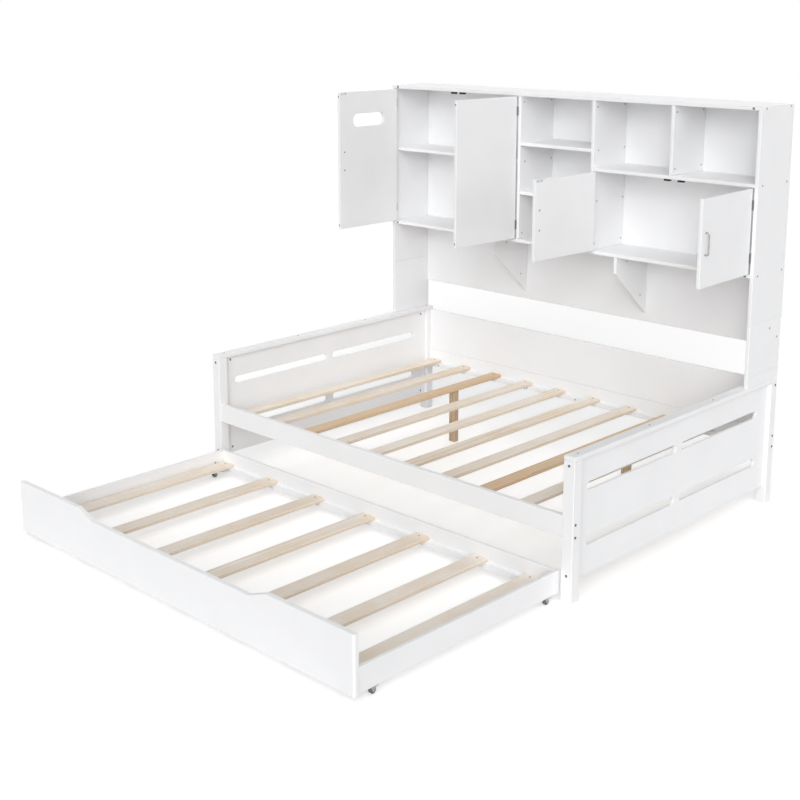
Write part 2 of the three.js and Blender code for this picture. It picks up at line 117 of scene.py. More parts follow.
class TrundleBedFittings(bpy.types.PropertyGroup):
    """Sizes of the doors and of the fittings."""

    board_edge: length("Eased edge", "Radius of the edges of the doors", 0.002)
    door_width: length("Door width", "Width of every door", 0.3845)
    door_thick: length("Door thickness", "Thickness of every door", 0.015)
    door_face: length("Door set back", "Front of a door behind its hinge axis", 0.0033)
    hold_length: length("Hand-hold length", "Length of the hole in the first door", 0.207)
    hold_height: length("Hand-hold height", "Height of the hole in the first door", 0.062)
    hold_drop: length("Hand-hold drop", "Middle of the hole below the door's top", 0.135)
    hinge_length: length("Hinge length", "Length of a hinge's leaves", 0.041)
    hinge_end: length("Hinge from the end", "Middle of a hinge from a door's end", 0.065)
    knuckle: length("Knuckle radius", "Radius of a hinge's knuckles", 0.0027)
    pull_length: length("Pull length", "Outer length of a pull", 0.091)
    pull_radius: length("Pull radius", "Radius of a pull's rod", 0.003)
    pull_reach: length("Pull reach", "How far a pull stands off its door", 0.018)
    pull_bend: length("Pull bend", "Radius of a pull's corners", 0.006)
    pull_edge: length("Pull from the edge", "Pull from the free edge of its door", 0.03)
    catch_length: length("Catch length", "Length of one magnetic catch", 0.029)
    bolt_radius: length("Bolt head radius", "Radius of the bolts' heads", 0.0048)
    screw_radius: length("Screw head radius", "Radius of the screws' heads", 0.0036)


class TrundleBedStage(bpy.types.PropertyGroup):
    """Floor, light and camera."""

    floor: colour("Floor", "Colour of the floor", (0.88, 0.88, 0.88))
    sky: share("Soft light", "Strength of the light from all round", 0.2, 4.0)
    front_lamp: share("Front light", "Strength of the low lamp in front", 1.08, 10.0)
    corner_lamp: share("Corner light", "Strength of the lamp at the front corner", 0.75, 10.0)
    side_lamp: share("Side light", "Strength of the lamp at the right-hand end", 0.35, 10.0)
    top_lamp: share("Top light", "Strength of the lamp overhead", 0.85, 10.0)
    rear_lamp: share("Rear light", "Strength of the lamp behind", 0.8, 10.0)
    lens: bpy.props.FloatProperty(
        name="Lens", description="Focal length of the camera", default=60.34,
        min=10.0, subtype="DISTANCE_CAMERA", unit="CAMERA")
    camera_place: bpy.props.FloatVectorProperty(
        name="Camera", description="Place of the camera", default=(3.611, -3.77, 2.082),
        size=3, subtype="TRANSLATION", unit="LENGTH")
    camera_turn: bpy.props.FloatProperty(
        name="Camera turn", description="Turn of the camera from looking straight back",
        default=math.radians(44.03), subtype="ANGLE", unit="ROTATION")
    camera_dip: bpy.props.FloatProperty(
        name="Camera dip", description="How far the camera looks down",
        default=math.radians(12.09), subtype="ANGLE", unit="ROTATION")


# ---- modelling ------------------------------------------------------------------------------

def at(x, y, z):
    """A point in millimetres from the middle of the bed, the front of its posts and the floor."""
    return Vector((MIDDLE + x * MM, FRONT + y * MM, z * MM))


def only(piece):
    """Nothing but this piece is selected."""
    if bpy.context.object and bpy.context.object.mode != "OBJECT":
        bpy.ops.object.mode_set(mode="OBJECT")
    bpy.ops.object.select_all(action="DESELECT")
    if piece:
        piece.select_set(True)
        bpy.context.view_layer.objects.active = piece


def settle(piece):
    """Puts a piece's place, turn and size into its mesh."""
    only(piece)
    bpy.ops.object.transform_apply(location=True, rotation=True, scale=True)
    return piece


def called(name):
    """Names the object that was just made."""
    piece = bpy.context.object
    piece.name = name
    piece.data.name = name
    return piece


def block(name, low, high):
    """A plain block between two corners, to be shaped further."""
    low, high = Vector(map(min, low, high)), Vector(map(max, low, high))
    only(None)
    bpy.ops.mesh.primitive_cube_add(size=1, location=(low + high) / 2)
    piece = called(name)
    piece.scale = high - low
    return settle(piece)


def rod(name, radius, start, end, sides):
    """A plain round rod between two points, to be shaped further."""
    start, end = Vector(start), Vector(end)
    along = end - start
    only(None)
    bpy.ops.mesh.primitive_cylinder_add(
        vertices=sides, radius=radius, depth=along.length, location=(start + end) / 2,
        rotation=along.to_track_quat("Z", "Y").to_euler())
    return settle(called(name))


def pick(piece, faces=None, edges=None):
    """Goes into edit mode with only the faces or edges that pass the test selected."""
    only(piece)
    bpy.ops.object.mode_set(mode="EDIT")
    bpy.ops.mesh.select_mode(type="FACE" if faces else "EDGE")
    bpy.ops.mesh.select_all(action="DESELECT")
    bpy.ops.object.mode_set(mode="OBJECT")
    if faces:
        for face in piece.data.polygons:
            face.select = faces(face)
    else:
        points = piece.data.vertices
        for edge in piece.data.edges:
            a, b = (points[i].co for i in edge.vertices)
            edge.select = edges(a, b)
    bpy.ops.object.mode_set(mode="EDIT")


def done():
    """Leaves edit mode."""
    bpy.ops.object.mode_set(mode="OBJECT")


def round_edges(piece, width, steps, test):
    """Rounds the edges whose two ends pass the test."""
    pick(piece, edges=test)
    bpy.ops.mesh.bevel(offset=width, segments=steps, affect="EDGES")
    done()


def with_modifier(piece, kind, **values):
    """Adds a modifier with these values and applies it."""
    only(piece)
    modifier = piece.modifiers.new(kind.title(), kind)
    for key, value in values.items():
        setattr(modifier, key, value)
    bpy.ops.object.modifier_apply(modifier=modifier.name)


def ease(piece, width, steps=3, angle=40.0):
    """Rounds every sharp edge."""
    with_modifier(piece, "BEVEL", width=width, segments=steps, limit_method="ANGLE",
                  angle_limit=math.radians(angle))


def cut(piece, tool):
    """Takes the tool's shape out of the piece."""
    with_modifier(piece, "BOOLEAN", operation="DIFFERENCE", object=tool, solver="EXACT")
    bpy.data.objects.remove(tool)


def join(name, parts):
    """Makes one piece of several, under a new name."""
    only(None)
    for part in parts:
        part.select_set(True)
    bpy.context.view_layer.objects.active = parts[0]
    if len(parts) > 1:
        bpy.ops.object.join()
    return called(name)


def soften(piece, angle):
    """Shades round edges smoothly and keeps flat faces flat."""
    only(piece)
    bpy.ops.object.shade_smooth_by_angle(angle=math.radians(angle))
    with_modifier(piece, "WEIGHTED_NORMAL", keep_sharp=True)


def copies(template, name, places):
    """Turns a small part that points up into copies along the normals at places, as one piece."""
    made = []
    for place, normal in places:
        part = template.copy()
        part.data = template.data.copy()
        bpy.context.collection.objects.link(part)
        part.matrix_world = (Matrix.Translation(place)
                             @ Vector(normal).to_track_quat("Z", "Y").to_matrix().to_4x4())
        made.append(settle(part))
    bpy.data.objects.remove(template)
    return join(name, made)


def hand_over(piece, body, material, stands_for=(), angle=32.0):
    """Gives a finished piece its shading and material, and the body that it moves with."""
    soften(piece, angle)
    piece.data.materials.clear()
    piece.data.materials.append(material)
    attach(piece, body)
    if stands_for:
        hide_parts(*stands_for)


# ---- materials ------------------------------------------------------------------------------

def new_group(name, inputs, outputs):
    """A shader group with named sockets; returns it with its input and output nodes."""
    group = bpy.data.node_groups.new(name, "ShaderNodeTree")
    for label, kind, value in inputs:
        socket = group.interface.new_socket(
            name=label, in_out="INPUT", socket_type="NodeSocket" + kind)
        socket.default_value = value
    for label, kind in outputs:
        group.interface.new_socket(
            name=label, in_out="OUTPUT", socket_type="NodeSocket" + kind)
    given = group.nodes.new("NodeGroupInput")
    result = group.nodes.new("NodeGroupOutput")
    result.location = (1600, 0)
    return group, given.outputs, result.inputs


SURFACE = (("Colour", "Color"), ("Roughness", "Float"), ("Height", "Float"))


def put(tree, kind, sockets=None, **settings):
    """Adds a node; its sockets are filled with values or wired to other nodes' outputs."""
    node = tree.nodes.new("ShaderNode" + kind)
    node.location = (180 * (len(tree.nodes) - 2), -120 * (len(tree.nodes) % 3))
    for key, value in settings.items():
        setattr(node, key, value)
    for key, value in (sockets or {}).items():
        if isinstance(value, bpy.types.NodeSocket):
            tree.links.new(value, node.inputs[key])
        else:
            node.inputs[key].default_value = value
    return node


def noise(tree, place, scale, detail=2.0, rough=0.5):
    return put(tree, "TexNoise", {"Vector": place, "Scale": scale, "Detail": detail,
                                  "Roughness": rough}).outputs["Fac"]


def stretch(tree, value, low, high, to_low=0.0, to_high=1.0):
    return put(tree, "MapRange", {"Value": value, "From Min": low, "From Max": high,
                                  "To Min": to_low, "To Max": to_high}).outputs["Result"]


def math_node(tree, operation, a, b):
    return put(tree, "Math", {0: a, 1: b}, operation=operation).outputs[0]


def times(tree, a, b):
    return math_node(tree, "MULTIPLY", a, b)


def blend_colours(tree, factor, a, b):
    return put(tree, "Mix", {0: factor, 6: a, 7: b}, data_type="RGBA").outputs[2]


def vector_times(tree, vector, factors):
    """A vector with each of its three parts multiplied on its own."""
    return put(tree, "VectorMath", {0: vector, 1: factors}, operation="MULTIPLY").outputs[0]


def vector_scaled(tree, vector, factor):
    return put(tree, "VectorMath", {0: vector, 3: factor}, operation="SCALE").outputs[0]


def facing(tree):
    """How squarely a face looks along X, Y and Z, each from 0 to 1."""
    normal = put(tree, "NewGeometry").outputs["Normal"]
    straight = put(tree, "VectorMath", {0: normal}, operation="ABSOLUTE").outputs[0]
    return put(tree, "SeparateXYZ", {0: straight}).outputs


def edge_wear_group():
    """A mask of the eased edges of square-cut boards, broken up as handling wears them."""
    group, given, result = new_group(
        "Edge wear", [("Breakup", "Float", 30.0)], [("Mask", "Float")])
    axes = facing(group)
    most = math_node(group, "MAXIMUM", math_node(group, "MAXIMUM", axes[0], axes[1]), axes[2])
    edge = stretch(group, most, 0.985, 0.8)
    place = put(group, "TexCoord").outputs["Object"]
    patches = stretch(group, noise(group, place, given["Breakup"], 3.0, 0.6), 0.38, 0.68)
    group.links.new(times(group, edge, patches), result["Mask"])
    return group


def paint_film_group():
    """A rolled coat of paint: faint clouds in its colour, an uneven sheen and a fine stipple."""
    group, given, result = new_group(
        "Paint film",
        [("Colour", "Color", (0.8, 0.8, 0.8, 1)), ("Roughness", "Float", 0.4),
         ("Stipple", "Float", 520.0)], SURFACE)
    place = put(group, "TexCoord").outputs["Object"]
    clouds = noise(group, place, 5.0, 3.0, 0.55)
    tone = stretch(group, clouds, 0.3, 0.7, 0.985, 1.012)
    group.links.new(vector_scaled(group, given["Colour"], tone), result["Colour"])
    drag = noise(group, place, 42.0, 4.0, 0.6)
    rough = math_node(group, "ADD", given["Roughness"], stretch(group, drag, 0.3, 0.7, -0.05, 0.06))
    group.links.new(rough, result["Roughness"])
    fine = noise(group, place, given["Stipple"], 2.0, 0.5)
    height = math_node(group, "ADD", times(group, fine, 0.6), times(group, drag, 0.4))
    group.links.new(height, result["Height"])
    return group


def wood_grain_group():
    """Sanded softwood: growth rings, fibres, warm patches and small knots."""
    group, given, result = new_group(
        "Wood grain",
        [("Vector", "Vector", (0, 0, 0)), ("Early wood", "Color", (0.8, 0.7, 0.55, 1)),
         ("Late wood", "Color", (0.6, 0.45, 0.3, 1)), ("Warm wood", "Color", (0.7, 0.5, 0.3, 1)),
         ("Ring strength", "Float", 0.5), ("Knots", "Float", 0.6)], SURFACE)
    grain = given["Vector"]      # its Y runs along the grain
    long = vector_times(group, grain, (1.0, 0.07, 1.0))
    drift = put(group, "TexNoise", {"Vector": long, "Scale": 7.0, "Detail": 2.0}).outputs["Color"]
    bent = put(group, "VectorMath", {0: long, 1: vector_scaled(group, drift, 0.075)},
               operation="ADD").outputs[0]
    rings = put(group, "TexWave",
                {"Vector": bent, "Scale": 34.0, "Distortion": 1.6, "Detail": 2.0,
                 "Detail Scale": 1.2}, wave_type="RINGS", rings_direction="Y",
                wave_profile="SAW").outputs["Fac"]
    rings = stretch(group, rings, 0.45, 1.0)
    fibres = noise(group, long, 620.0, 3.0, 0.65)
    cells = put(group, "TexVoronoi",
                {"Vector": vector_times(group, grain, (5.2, 3.4, 0.0)), "Scale": 1.0})
    near = stretch(group, cells.outputs["Distance"], 0.05, 0.018)
    some = math_node(group, "GREATER_THAN",
                     put(group, "SeparateXYZ", {0: cells.outputs["Color"]}).outputs[0], 0.45)
    knots = times(group, times(group, near, some), given["Knots"])
    tone = noise(group, vector_times(group, grain, (9.0, 0.6, 9.0)), 1.0, 1.0, 0.5)
    dark = math_node(group, "ADD", times(group, rings, given["Ring strength"]),
                     stretch(group, fibres, 0.35, 0.75, 0.0, 0.22))
    dark = math_node(group, "ADD", dark, stretch(group, tone, 0.3, 0.7, -0.22, 0.2))
    dark = put(group, "Clamp", {"Value": dark}).outputs[0]
    patches = noise(group, vector_times(group, grain, (9.0, 5.0, 9.0)), 1.0, 2.0, 0.6)
    warm = stretch(group, patches, 0.44, 0.66, 0.0, 0.6)
    pale = blend_colours(group, warm, given["Early wood"], given["Warm wood"])
    wood = blend_colours(group, dark, pale, given["Late wood"])
    knot_brown = (0.22, 0.11, 0.05, 1)
    knotted = blend_colours(group, knots, wood, knot_brown)
    group.links.new(knotted, result["Colour"])
    group.links.new(stretch(group, fibres, 0.3, 0.7, 0.56, 0.72), result["Roughness"])
    height = math_node(group, "SUBTRACT", times(group, fibres, 0.7), times(group, rings, 0.25))
    group.links.new(height, result["Height"])
    return group


def plating_group():
    """Plated metal or moulded plastic: faint cloudiness, fine pits and an uneven sheen."""
    group, given, result = new_group(
        "Plating",
        [("Colour", "Color", (0.5, 0.5, 0.5, 1)), ("Roughness", "Float", 0.3),
         ("Pits", "Float", 900.0)], SURFACE)
    place = put(group, "TexCoord").outputs["Object"]
    clouds = noise(group, place, 60.0, 3.0, 0.6)
    tone = stretch(group, clouds, 0.3, 0.7, 0.9, 1.06)
    group.links.new(vector_scaled(group, given["Colour"], tone), result["Colour"])
    rough = math_node(group, "ADD", given["Roughness"],
                      stretch(group, clouds, 0.3, 0.7, -0.05, 0.07))
    group.links.new(rough, result["Roughness"])
    group.links.new(noise(group, place, given["Pits"], 2.0, 0.5), result["Height"])
    return group


def material(name, surface, bump, **shader):
    """A material whose Principled shader takes its colour, roughness and bump from surface()."""
    made = bpy.data.materials.new(name)
    made.use_nodes = True
    tree = made.node_tree
    principled = tree.nodes["Principled BSDF"]
    for label, value in shader.items():
        principled.inputs[label.replace("_", " ")].default_value = value
    colour_out, rough_out, height_out = surface(tree)
    tree.links.new(colour_out, principled.inputs["Base Color"])
    tree.links.new(rough_out, principled.inputs["Roughness"])
    bumped = put(tree, "Bump", {"Height": height_out, "Strength": bump[0], "Distance": bump[1]})
    tree.links.new(bumped.outputs["Normal"], principled.inputs["Normal"])
    return made


def shader_group(tree, group, sockets):
    return put(tree, "Group", sockets, node_tree=group).outputs


def opaque(rgb):
    return (*rgb, 1.0)


def make_materials(finishes):
    """Every material of the bed, by a short name."""
    wear, film = edge_wear_group(), paint_film_group()
    grain, plating = wood_grain_group(), plating_group()

    def painted(tree):
        coat = shader_group(tree, film, {"Colour": opaque(finishes.paint),
                                         "Roughness": finishes.paint_gloss})
        mask = shader_group(tree, wear, {"Breakup": 26.0})["Mask"]
        faint = times(tree, mask, 0.55)
        return (blend_colours(tree, faint, coat["Colour"], opaque(finishes.worn_paint)),
                coat["Roughness"], coat["Height"])

    def sawn(early, late, warm, rings, along):
        """Sawn wood whose grain runs along Y or Z; where it lies flat, its side faces get painted shade."""
        def surface(tree):
            place = put(tree, "TexCoord").outputs["Object"]
            turn = (math.radians(90), 0, 0) if along == "z" else (0, 0, 0)
            lengthways = put(tree, "Mapping", {"Vector": place, "Rotation": turn}).outputs[0]
            wood = shader_group(tree, grain, {
                "Vector": lengthways, "Early wood": opaque(early), "Late wood": opaque(late),
                "Warm wood": opaque(warm), "Ring strength": rings, "Knots": 0.75})
            mask = shader_group(tree, wear, {"Breakup": 60.0})["Mask"]
            rubbed = times(tree, mask, 0.35)
            # painted shade: on boards lying flat, faces that look sideways are blended towards the late wood, on
            # top of the edge wear
            if along == "y":
                painted_side_shade = stretch(tree, facing(tree)[2], 0.8, 0.2, 0.0, 0.5)
                rubbed = math_node(tree, "MAXIMUM", rubbed, painted_side_shade)
            # the mix below carries both the real edge wear and the painted side shade
            return (blend_colours(tree, rubbed, wood["Colour"], opaque(late)),
                    wood["Roughness"], wood["Height"])
        return surface

    def plated(rgb, rough, pits=900.0):
        def surface(tree):
            coat = shader_group(tree, plating, {"Colour": opaque(rgb), "Roughness": rough,
                                                "Pits": pits})
            return coat["Colour"], coat["Roughness"], coat["Height"]
        return surface

    return {
        "paint": material("white_paint", painted, (0.12, 0.0004), Specular_IOR_Level=0.3),
        "pine": material("pine", sawn(finishes.pine, finishes.pine_late,
                                      finishes.pine_warm, 0.5, "y"),
                         (0.25, 0.0006), Specular_IOR_Level=0.3),
        "brown": material("brown_pine", sawn(finishes.brown_pine, finishes.brown_late,
                                             finishes.brown_warm, 0.6, "y"),
                          (0.3, 0.0006), Specular_IOR_Level=0.3),
        "brown_upright": material(
            "brown_pine_upright", sawn(finishes.leg, finishes.leg_late, finishes.leg, 0.7, "z"),
            (0.3, 0.0006), Specular_IOR_Level=0.3),
        "nickel": material("satin_nickel", plated(finishes.nickel, 0.33), (0.05, 0.0002),
                           Metallic=1.0),
        "bright": material("bright_zinc", plated(finishes.bright_zinc, 0.5), (0.06, 0.0003),
                           Metallic=0.6),
        "zinc": material("zinc_plate", plated(finishes.zinc, 0.42), (0.08, 0.0003), Metallic=1.0),
        "hinge": material("hinge_steel", plated(finishes.hinge_steel, 0.45), (0.08, 0.0003),
                          Metallic=0.4),
        "steel": material("dark_steel", plated(finishes.dark_steel, 0.4), (0.08, 0.0003),
                          Metallic=0.6),
        "plastic": material("black_plastic", plated(finishes.plastic, 0.5, 1500.0),
                            (0.15, 0.0003)),
        "tyre": material("black_tyre", plated(finishes.tyre, 0.62, 1200.0), (0.2, 0.0004)),
    }


MATERIALS = {}


# ---- operators ------------------------------------------------------------------------------

class TRUNDLEBED_OT_boards(bpy.types.Operator):
    """Mix the finishes and put them on the boards, slats, legs and shelves"""

    bl_idname = "trundle_bed.boards"
    bl_label = "Boards and slats"

    def execute(self, context):
        MATERIALS.update(make_materials(context.scene.trundle_bed_finishes))
        by_slot = {"white_paint": "paint", "pine": "pine", "brown_pine": "brown",
                   "black_plastic": "plastic", "black_tyre": "tyre"}
        for part in frame["record"]["subparts"]:
            node = frame["nodes"][part["node"]]
            kind = by_slot[part["material_slot"]]
            if part["node"].startswith("support_leg"):
                kind = "brown_upright"
            node.data.materials.clear()
            node.data.materials.append(MATERIALS[kind])
        return {"FINISHED"}


def door_table(fittings):
    """Every door: its hinge axis, the way it reaches from there, its turn and its height."""
    doors = []
    for number in (1, 2, 3, 4):
        joint = JOINTS[f"door_{number}_hinge"]
        low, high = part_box(f"door_{number}")
        shut, open_way = joint["range_deg"]
        way = 1 if open_way > -shut else -1
        turn = -open_way if way > 0 else -shut
        doors.append({
            "name": f"door_{number}", "way": way, "turn": math.radians(turn),
            "axis": Vector((joint["pos_m"][0], joint["pos_m"][1], 0)),
            "low": low.z, "high": high.z,
            "hinges": (low.z + fittings.hinge_end, high.z - fittings.hinge_end),
            "hold": number == 1, "pull": number != 2})
    return doors


def hang(piece, door):
    """Turns a piece made on a closed door, with the hinge axis at the origin, to its place."""
    piece.location = door["axis"]
    piece.rotation_euler = (0, 0, door["turn"])
    return settle(piece)


def inside_screws(door, stem, points, radius):
    """Screw heads on the inside of a door."""
    screws = flat_screws(f"{door['name']}_{stem}", [(Vector(point), (0, 1, 0)) for point in points],
                         radius)
    hand_over(hang(screws, door), door["name"], MATERIALS["steel"])


def near_and_far(door, fittings):
    """A door's two upright edges, measured from its hinge axis."""
    near = door["way"] * 0.001
    return near, near + door["way"] * fittings.door_width


def hand_hold(fittings, middle, height, front, back):
    """A bar with round ends, to be cut out of a door."""
    along, up, past = fittings.hold_length / 2, fittings.hold_height / 2, 0.02
    tool = block("hold_tool", (middle - along, front - past, height - up),
                 (middle + along, back + past, height + up))
    round_edges(tool, up * 0.999, 14, lambda a, b: abs(a.y - b.y) > past / 2)
    return tool


class TRUNDLEBED_OT_doors(bpy.types.Operator):
    """Make the four doors, with the hand-hold through the first"""

    bl_idname = "trundle_bed.doors"
    bl_label = "Doors"

    def execute(self, context):
        fittings = context.scene.trundle_bed_fittings
        for door in door_table(fittings):
            near, far = near_and_far(door, fittings)
            front, back = fittings.door_face, fittings.door_face + fittings.door_thick
            leaf = block(f"{door['name']}_leaf", (near, front, door["low"]),
                         (far, back, door["high"]))
            if door["hold"]:
                middle, height = (near + far) / 2, door["high"] - fittings.hold_drop
                cut(leaf, hand_hold(fittings, middle, height, front, back))
            ease(leaf, fittings.board_edge)
            hand_over(hang(leaf, door), door["name"], MATERIALS["paint"],
                      (door["name"],))
        return {"FINISHED"}


def plain_board(name, low, high, edge=0.002):
    """An eased board between two corners."""
    made = block(name, low, high)
    ease(made, edge)
    return made


class TRUNDLEBED_OT_uprights(bpy.types.Operator):
    """Make the bookcase's sides and dividers, which the hinges are screwed to"""

    bl_idname = "trundle_bed.uprights"
    bl_label = "Bookcase sides and dividers"

    def execute(self, context):
        for word, side in SIDES.items():
            outer, inner = MIDDLE + side * HALF, MIDDLE + side * DIVIDER_INNER
            for node, stem, start, end in (
                    ("side_upper", "side_board", outer - side * BOARD, outer),
                    ("divider", "divider_board", inner, inner + side * BOARD)):
                low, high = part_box(f"{node}_{word}")
                made = plain_board(f"{stem}_{word}", (start, CASE_FRONT, low.z),
                                   (end, high.y, high.z))
                hand_over(made, "bed", MATERIALS["paint"], (f"{node}_{word}",))
        return {"FINISHED"}


def round_head(radius, sides, sunk, proud, rim, steps):
    """A short rod that points up, with a rounded rim: the start of a screw's or bolt's head."""
    head = rod("head", radius, (0, 0, -sunk), (0, 0, proud), sides)
    top = proud - 0.0001
    round_edges(head, rim, steps, lambda a, b: a.z > top and b.z > top)
    return head


def flat_screws(name, places, radius):
    """Countersunk screws with a cross recess, as one piece."""
    head = round_head(radius, 20, sunk=0.0009, proud=0.0004, rim=0.0004, steps=2)
    arm = (radius * 0.62, radius * 0.15)
    for x, y in (reversed(arm), arm):
        cut(head, block("cross_tool", (-x, -y, -0.0006), (x, y, 0.002)))
    return copies(head, name, places)


def bolt_heads(name, places, radius):
    """Low round bolt heads with a six-sided socket, as one piece."""
    head = round_head(radius, 28, sunk=0.0012, proud=0.0016, rim=0.0011, steps=3)
    cut(head, rod("socket_tool", radius * 0.46, (0, 0, -0.0004), (0, 0, 0.004), 6))
    return copies(head, name, places)


def barrel_nuts(name, places, radius):
    """Flush ends of barrel nuts with a slot across them, as one piece."""
    head = round_head(radius, 24, sunk=0.0015, proud=0.0003, rim=0.0003, steps=2)
    half_slot, past = 0.0006, radius * 1.2
    cut(head, block("slot_tool", (-past, -half_slot, -0.0008), (past, half_slot, 0.002)))
    return copies(head, name, places)


def hinge_leaf(name, way, face, back, height, half, knuckles, radius):
    """A leaf on the side that way points to, with its knuckles, about an axis at 0, 0."""
    near, far = 0.0002 * way, 0.001 * way
    plate = block("plate", (near, face, height - half), (far, back, height + half))
    round_edges(plate, 0.002, 4, lambda a, b: abs(a.x - b.x) > 0.0005 and a.y > face + 0.001)
    parts = [plate]
    for low, high in knuckles:
        roll = rod("roll", radius, (0, 0, height + low), (0, 0, height + high), 24)
        ease(roll, 0.0003, 2)
        strip = block("strip", (near, 0, height + low), (far, face + 0.0005, height + high))
        parts += [roll, strip]
    sunk, along = near + 0.0003 * way, face + (back - face) * 0.55
    screws = flat_screws("leaf_screws", [
        (Vector((sunk, along, height + s * half * 0.62)), (-way, 0, 0)) for s in (-1, 1)], 0.0024)
    return join(name, parts + [screws])


class TRUNDLEBED_OT_hinges(bpy.types.Operator):
    """Make the doors' butt hinges: leaves, knuckles, pins and screws"""

    bl_idname = "trundle_bed.hinges"
    bl_label = "Hinges"

    def execute(self, context):
        fittings = context.scene.trundle_bed_fittings
        steel = MATERIALS["hinge"]
        half, gap = fittings.hinge_length / 2, 0.0003
        third = (fittings.hinge_length - 2 * gap) / 3
        face = fittings.door_face
        case_back, door_back = face + 0.016, face + 0.013
        pin_radius, pin_past = 0.0012, 0.0008
        for door in door_table(fittings):
            for place, height in zip(("lower", "upper"), door["hinges"]):
                stem = f"{door['name']}_hinge_{place}"
                case = hinge_leaf(stem + "_case_leaf", -door["way"], face, case_back, height,
                                  half, [(-third / 2, third / 2)], fittings.knuckle)
                case.location = door["axis"]
                hand_over(settle(case), "bed", steel)
                ends = [(s * (third + gap) - third / 2, s * (third + gap) + third / 2)
                        for s in (-1, 1)]
                leaf = hinge_leaf(stem + "_door_leaf", door["way"], face, door_back, height,
                                  half, ends, fittings.knuckle)
                pin = rod("pin", pin_radius, (0, 0, height - half - pin_past),
                          (0, 0, height + half + pin_past), 16)
                ease(pin, 0.0005, 2)
                hand_over(hang(join(stem + "_door_leaf", [leaf, pin]), door), door["name"], steel)
        return {"FINISHED"}


def draw_rod(step):
    """Draws the selected end of the rod straight on."""
    bpy.ops.mesh.extrude_region_move(TRANSFORM_OT_translate={"value": step})


def turn_rod(centre):
    """Bends the selected end of the rod through a right angle round a line along X."""
    bpy.ops.mesh.spin(steps=7, angle=math.radians(90), center=centre, axis=(1, 0, 0))


class TRUNDLEBED_OT_pulls(bpy.types.Operator):
    """Make the round bow pulls and the screws that hold them from behind"""

    bl_idname = "trundle_bed.pulls"
    bl_label = "Pulls"

    def execute(self, context):
        fittings = context.scene.trundle_bed_fittings
        radius, bend = fittings.pull_radius, fittings.pull_bend
        for door in door_table(fittings):
            if not door["pull"]:
                continue
            x = near_and_far(door, fittings)[1] - door["way"] * fittings.pull_edge
            face = fittings.door_face
            middle = (door["low"] + door["high"]) / 2
            end = fittings.pull_length / 2 - radius
            front = face - fittings.pull_reach + radius
            only(None)
            bpy.ops.mesh.primitive_circle_add(
                vertices=20, radius=radius, fill_type="NGON", location=(x, face, middle - end),
                rotation=(math.radians(90), 0, 0))
            pull = settle(called(f"{door['name']}_pull"))
            pick(pull, faces=lambda each: True)
            draw_rod((0, front + bend - face, 0))
            turn_rod((x, front + bend, middle - end + bend))
            draw_rod((0, 0, 2 * (end - bend)))
            turn_rod((x, front + bend, middle + end - bend))
            draw_rod((0, face - front - bend, 0))
            bpy.ops.mesh.select_all(action="SELECT")
            bpy.ops.mesh.remove_doubles(threshold=0.00001)
            bpy.ops.mesh.normals_make_consistent(inside=False)
            done()
            feet = []
            for height in (middle - end, middle + end):
                foot = rod("foot", radius * 1.45, (x, face - 0.0012, height),
                           (x, face + 0.0002, height), 24)
                ease(foot, 0.0004, 2)
                feet.append(foot)
            hand_over(hang(join(pull.name, [pull, *feet]), door), door["name"],
                      MATERIALS["nickel"], angle=40)
            back = face + fittings.door_thick
            inside_screws(door, "pull_screws", [(x, back, middle - end), (x, back, middle + end)],
                          fittings.screw_radius)
        return {"FINISHED"}


def catch_body(low, high):
    """A moulded body with a sunk front."""
    made = block("body", low, high)
    ease(made, 0.0012)
    pick(made, faces=lambda each: each.normal.y < -0.9 and each.area > 0.0001)
    bpy.ops.mesh.inset(thickness=0.0016, depth=0)
    bpy.ops.mesh.inset(thickness=0.0002, depth=-0.0006)
    done()
    return made


def catch_poles(centre, low, high):
    """The two iron bars that carry the magnet's pull to the front."""
    step, half, margin, depth, proud = 0.0062, 0.0042, 0.0032, 0.004, 0.0001
    bars = []
    for x in (centre - step, centre + step):
        bar = block("bar", (x - half, low.y - proud, low.z + margin),
                    (x + half, low.y + depth, high.z - margin))
        ease(bar, 0.0003, 2)
        bars.append(bar)
    return bars


def strike_plate(door, fittings):
    """The plate on the inside of a door that the catch holds, with its two screws."""
    half_length, half_height, sunk, proud = 0.018, 0.0055, 0.0002, 0.0003
    x = near_and_far(door, fittings)[1] - door["way"] * 0.027
    back = fittings.door_face + fittings.door_thick
    z = door["high"] - 0.0065
    plate = block(f"{door['name']}_strike", (x - half_length, back - sunk, z - half_height),
                  (x + half_length, back + proud, z + half_height))
    round_edges(plate, 0.002, 4, lambda a, b: abs(a.y - b.y) > 0.0003)
    hand_over(hang(plate, door), door["name"], MATERIALS["bright"])
    inside_screws(door, "strike_screws", [(x - 0.013, back, z), (x + 0.013, back, z)], 0.0026)


class TRUNDLEBED_OT_catches(bpy.types.Operator):
    """Make the double magnetic catches and the strike plates on the doors"""

    bl_idname = "trundle_bed.catches"
    bl_label = "Catches"

    def execute(self, context):
        fittings = context.scene.trundle_bed_fittings
        for word in SIDES:
            low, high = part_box(f"catch_{word}")
            bodies, poles = [], []
            for far, side in ((low.x, -1), (high.x, 1)):
                near = far - side * fittings.catch_length
                bodies.append(catch_body((near, low.y, low.z), (far, high.y, high.z)))
                poles += catch_poles((near + far) / 2, low, high)
            catch = join(f"magnetic_catch_{word}", bodies)
            hand_over(catch, "bed", MATERIALS["plastic"], (f"catch_{word}",))
            hand_over(join(f"catch_poles_{word}", poles), "bed", MATERIALS["steel"])
        for door in door_table(fittings):
            strike_plate(door, fittings)
        return {"FINISHED"}


